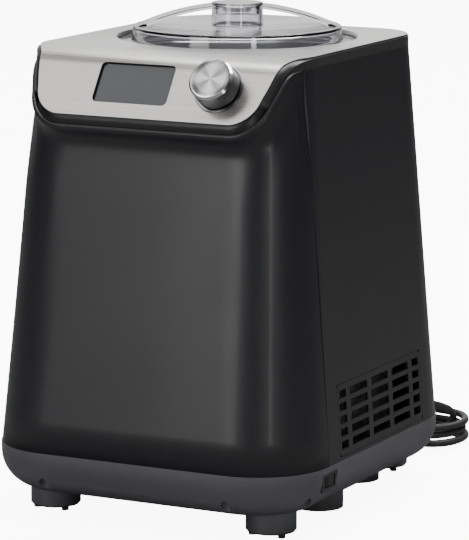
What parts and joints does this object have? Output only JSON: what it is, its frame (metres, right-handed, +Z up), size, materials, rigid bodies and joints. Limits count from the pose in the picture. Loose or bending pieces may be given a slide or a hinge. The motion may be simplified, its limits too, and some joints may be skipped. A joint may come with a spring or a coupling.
{
  "type": "ice cream maker",
  "caption": "Compressor ice cream maker: tapered housing on a rounded base, sloping steel control panel with display and knob, clear lid over a lift-out bowl with paddle.",
  "frame": {"origin": "on the table under the centre of the base, without the mains lead", "axes": "+Z up, front and control panel towards -Y, +X to the right seen from the front"},
  "size_m": [0.267, 0.4143, 0.3764],
  "materials": {
    "brushed_steel": "brushed stainless sheet",
    "frame_black": "satin black",
    "housing": "satin anthracite lacquer",
    "base_plastic": "fine satin",
    "rubber": "matt",
    "lens": "polished",
    "lcd": "display module",
    "circuit_board": "solder mask",
    "spun_aluminium": "turned face",
    "dark_chrome": "dark",
    "steel": "bright",
    "drawn_aluminium": "drawn",
    "copper": "drawn copper tube",
    "foam": "expanded foam",
    "clear": "clear moulded plastic",
    "paddle_plastic": "food plastic",
    "silicone": "translucent silicone",
    "bearing_bronze": "sintered bronze",
    "gear_plastic": "acetal",
    "black_metal": "black enamel",
    "zinc": "zinc plated",
    "fin_aluminium": "rolled",
    "fan_plastic": "moulded",
    "cord_black": "black cord",
    "plug_black": "moulded plug"
  },
  "bodies": {
    "housing": {"top_panel": "brushed_steel", "top_frame": "frame_black", "display_lens": "lens", "lcd_module": "lcd", "control_board": "circuit_board", "knob_ring": "dark_chrome", "encoder": "zinc", "front_shell": "housing", "rear_shell": "housing", "vent_grille_right": "frame_black", "vent_grille_left": "frame_black", "base_tray": "base_plastic", "base_screws": "zinc", "foot_cups": "base_plastic", "foot_pads": "rubber", "evaporator_bucket": "drawn_aluminium", "evaporator_coil": "copper", "insulation": "foam", "gearbox_case": "fan_plastic", "gearbox_cover": "fan_plastic", "spindle_bush": "bearing_bronze", "spindle_seal": "rubber", "motor_stator": "zinc", "support_frame": "zinc", "compressor": "black_metal", "compressor_plate": "black_metal", "compressor_grommets": "rubber", "mount_studs": "zinc", "condenser_tube": "copper", "condenser_fins": "fin_aluminium", "fan_frame": "fan_plastic", "discharge_pipe": "copper", "liquid_pipe": "copper", "filter_drier": "copper", "capillary_tube": "copper", "suction_pipe": "copper", "board_bracket": "zinc", "power_board": "circuit_board", "switch_bezel": "frame_black", "cord_gland": "rubber", "mains_lead": "cord_black", "mains_lead_hank": "cord_black", "plug": "plug_black"},
    "encoder_wheel": {"encoder_rotor": "gear_plastic"},
    "knob": {"knob": "spun_aluminium", "knob_stem": "steel"},
    "rocker": {"power_rocker": "frame_black"},
    "bowl": {"bowl": "drawn_aluminium"},
    "bail": {"bowl_bail": "steel"},
    "paddle": {"paddle": "paddle_plastic"},
    "seal_ring": {"lid_seal": "silicone"},
    "lid": {"lid": "clear"},
    "cap": {"filler_cap": "clear"},
    "drive": {"output_gear": "gear_plastic", "drive_spindle": "steel"},
    "cluster": {"cluster_gear": "gear_plastic"},
    "rotor": {"motor_rotor": "steel", "motor_pinion": "bearing_bronze"},
    "fan": {"fan_rotor": "fan_plastic"}
  },
  "joints": [
    {"name": "knob_turn", "type": "hinge", "parent": "housing", "child": "encoder_wheel", "pos_m": [0.0562, -0.11562, 0.3283], "axis": [0, -0.829, 0.5592], "continuous": true},
    {"name": "knob_push", "type": "slide", "parent": "encoder_wheel", "child": "knob", "axis": [0, 0.829, -0.5592], "range_m": [0, 0.0006], "stiffness_N_per_m": 900},
    {"name": "power_switch", "type": "hinge", "parent": "housing", "child": "rocker", "pos_m": [0.1271, -0.0878, 0.042], "axis": [0, 0, 1], "range_deg": [0, 14]},
    {"name": "bowl_lift", "type": "slide", "parent": "housing", "child": "bowl", "axis": [0, 0, 1], "range_m": [0, 0.17]},
    {"name": "lid_lift", "type": "slide", "parent": "bowl", "child": "seal_ring", "axis": [0, 0, 1], "range_m": [0, 0.16]},
    {"name": "lid_turn", "type": "hinge", "parent": "seal_ring", "child": "lid", "pos_m": [0, 0.0237, 0.35], "axis": [0, 0, 1], "range_deg": [0, 30]},
    {"name": "cap_lift", "type": "slide", "parent": "lid", "child": "cap", "axis": [0, 0, 1], "range_m": [0, 0.04]},
    {"name": "bail_swing", "type": "hinge", "parent": "bowl", "child": "bail", "pos_m": [0, 0.0237, 0.3408], "axis": [1, 0, 0], "range_deg": [0, 90]},
    {"name": "drive_spin", "type": "hinge", "parent": "housing", "child": "drive", "pos_m": [0, 0.0237, 0.15], "axis": [0, 0, 1], "continuous": true},
    {"name": "cluster_spin", "type": "hinge", "parent": "housing", "child": "cluster", "pos_m": [0, -0.02505, 0.15], "axis": [0, 0, 1], "continuous": true},
    {"name": "rotor_spin", "type": "hinge", "parent": "housing", "child": "rotor", "pos_m": [0, -0.06205, 0.1], "axis": [0, 0, 1], "continuous": true},
    {"name": "paddle_spin", "type": "hinge", "parent": "bowl", "child": "paddle", "pos_m": [0, 0.0237, 0.24], "axis": [0, 0, 1], "continuous": true},
    {"name": "fan_spin", "type": "hinge", "parent": "housing", "child": "fan", "pos_m": [0.08, 0.005, 0.077], "axis": [1, 0, 0], "continuous": true}
  ],
  "couplings": [
    {"joint": "cluster_spin", "follows": "drive_spin", "ratio": -4.5714},
    {"joint": "rotor_spin", "follows": "drive_spin", "ratio": 19.592},
    {"joint": "paddle_spin", "follows": "drive_spin", "ratio": 1},
    {"joint": "bail_swing", "follows": "lid_lift", "rad_per_m": 9.5}
  ]
}
